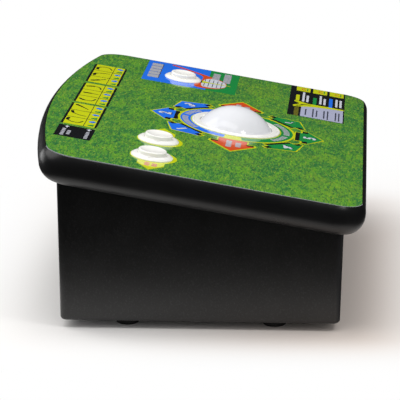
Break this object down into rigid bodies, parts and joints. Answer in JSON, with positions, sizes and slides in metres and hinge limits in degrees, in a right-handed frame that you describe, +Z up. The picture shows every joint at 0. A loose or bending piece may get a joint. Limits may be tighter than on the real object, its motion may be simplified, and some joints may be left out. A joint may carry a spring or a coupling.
{
  "type": "tabletop trackball game console",
  "caption": "Tabletop game console: a plain box on feet under a tilted, overhanging deck with a trackball, push buttons and a printed overlay.",
  "frame": {"origin": "on the floor, under the middle of the whole console's bounding box", "axes": "+X to the player's right, +Y away from the player, +Z up"},
  "size_m": [0.407, 0.2776, 0.1537],
  "materials": {
    "deck_black": "satin moulded",
    "overlay_print": "glossy printed laminate",
    "body_black": "fine matt texture",
    "base_black": "matt",
    "white_gloss": "glossy white",
    "ball_white": "polished white",
    "foot_rubber": "matt",
    "housing_plastic": "matt",
    "roller_plastic": "smooth",
    "encoder_plastic": "smooth",
    "steel": "ground",
    "zinc": "plated",
    "black_screw": "black oxide",
    "circuit_green": "solder mask",
    "chip_black": "moulded epoxy",
    "capacitor_sleeve": "shrunk sleeve",
    "connector_white": "nylon",
    "switch_black": "matt",
    "nut_black": "nylon",
    "cell_wrap": "printed sleeve",
    "socket_yellow": "moulded",
    "socket_white": "moulded",
    "socket_metal": "plated",
    "cable_grey": "PVC sleeve"
  },
  "bodies": {
    "root": {"audio_socket": "socket_white", "base_plate": "base_black", "base_plate_screws": "black_screw", "batteries": "cell_wrap", "battery_contacts": "zinc", "battery_harness": "cable_grey", "board_connectors": "connector_white", "board_screws": "zinc", "body_shell": "body_black", "button_microswitches": "switch_black", "button_ring_nuts": "nut_black", "capacitors": "capacitor_sleeve", "crystal": "zinc", "deck_screws": "black_screw", "encoder_boards": "circuit_green", "encoder_sensors": "chip_black", "graphic_overlay": "overlay_print", "inner_button_housing": "white_gloss", "inner_button_spring": "steel", "left_button_harness": "cable_grey", "main_board": "circuit_green", "outer_button_housing": "white_gloss", "outer_button_spring": "steel", "power_jack": "chip_black", "power_switch_body": "chip_black", "processor": "chip_black", "roller_bearings": "steel", "rubber_feet": "foot_rubber", "socket_board": "circuit_green", "socket_harness": "cable_grey", "socket_sleeves": "socket_metal", "start_button_harness": "cable_grey", "start_button_housing": "white_gloss", "start_button_spring": "steel", "top_deck": "deck_black", "trackball_bezel": "white_gloss", "trackball_harness": "cable_grey", "trackball_housing_screws": "zinc", "trackball_lower_housing": "housing_plastic", "trackball_upper_housing": "housing_plastic", "video_socket": "socket_yellow"},
    "trackball": {"trackball": "ball_white"},
    "back_roller": {"back_roller": "roller_plastic", "back_encoder_wheel": "encoder_plastic"},
    "side_roller": {"side_roller": "roller_plastic", "side_encoder_wheel": "encoder_plastic"},
    "idler_roller": {"idler_roller": "roller_plastic"},
    "battery_door": {"battery_door": "base_black"},
    "power_switch_knob": {"power_switch_knob": "chip_black"},
    "outer_button_plunger": {"outer_button_plunger": "white_gloss"},
    "outer_button_lever": {"outer_button_lever": "steel"},
    "inner_button_plunger": {"inner_button_plunger": "white_gloss"},
    "inner_button_lever": {"inner_button_lever": "steel"},
    "start_button_plunger": {"start_button_plunger": "white_gloss"},
    "start_button_lever": {"start_button_lever": "steel"}
  },
  "joints": [
    {"name": "trackball_spin", "type": "hinge", "parent": "root", "child": "trackball", "pos_m": [0, -0.021, 0.10483], "axis": [1, 0, 0], "continuous": true},
    {"name": "back_roller_spin", "type": "hinge", "parent": "root", "child": "back_roller", "pos_m": [0, 0.01902, 0.08617], "axis": [1, 0, 0], "continuous": true},
    {"name": "side_roller_spin", "type": "hinge", "parent": "root", "child": "side_roller", "pos_m": [0.03617, -0.0166, 0.07989], "axis": [0, 0.9848, 0.1736], "continuous": true},
    {"name": "idler_roller_spin", "type": "hinge", "parent": "root", "child": "idler_roller", "pos_m": [-0.02557, -0.04178, 0.07545], "axis": [0.7071, -0.6964, -0.1228], "continuous": true},
    {"name": "outer_button_press", "type": "slide", "parent": "root", "child": "outer_button_plunger", "axis": [0, 0.1736, -0.9848], "range_m": [0, 0.003], "stiffness_N_per_m": 250, "springref_m": -0.004, "deforming": ["outer_button_spring"]},
    {"name": "outer_lever_turn", "type": "hinge", "parent": "root", "child": "outer_button_lever", "pos_m": [-0.163, 0.03879, 0.10841], "axis": [0, 0.9848, 0.1736], "range_deg": [0, 16]},
    {"name": "inner_button_press", "type": "slide", "parent": "root", "child": "inner_button_plunger", "axis": [0, 0.1736, -0.9848], "range_m": [0, 0.003], "stiffness_N_per_m": 250, "springref_m": -0.004, "deforming": ["inner_button_spring"]},
    {"name": "inner_lever_turn", "type": "hinge", "parent": "root", "child": "inner_button_lever", "pos_m": [-0.1083, 0.03879, 0.10841], "axis": [0, 0.9848, 0.1736], "range_deg": [0, 16]},
    {"name": "start_button_press", "type": "slide", "parent": "root", "child": "start_button_plunger", "axis": [0, 0.1736, -0.9848], "range_m": [0, 0.003], "stiffness_N_per_m": 250, "springref_m": -0.004, "deforming": ["start_button_spring"]},
    {"name": "start_lever_turn", "type": "hinge", "parent": "root", "child": "start_button_lever", "pos_m": [0.1336, 0.03879, 0.10841], "axis": [0, 0.9848, 0.1736], "range_deg": [0, 16]},
    {"name": "power_switch_slide", "type": "slide", "parent": "root", "child": "power_switch_knob", "axis": [1, 0, 0], "range_m": [0, 0.004]},
    {"name": "battery_door_swing", "type": "hinge", "parent": "root", "child": "battery_door", "pos_m": [-0.095, 0.01445, 0.0068], "axis": [1, 0, 0], "range_deg": [0, 70]}
  ],
  "couplings": [
    {"joint": "back_roller_spin", "follows": "trackball_spin", "ratio": -6.35},
    {"joint": "idler_roller_spin", "follows": "trackball_spin", "ratio": -4.4901},
    {"joint": "outer_lever_turn", "follows": "outer_button_press", "rad_per_m": 92.076},
    {"joint": "inner_lever_turn", "follows": "inner_button_press", "rad_per_m": 92.076},
    {"joint": "start_lever_turn", "follows": "start_button_press", "rad_per_m": 92.076}
  ]
}
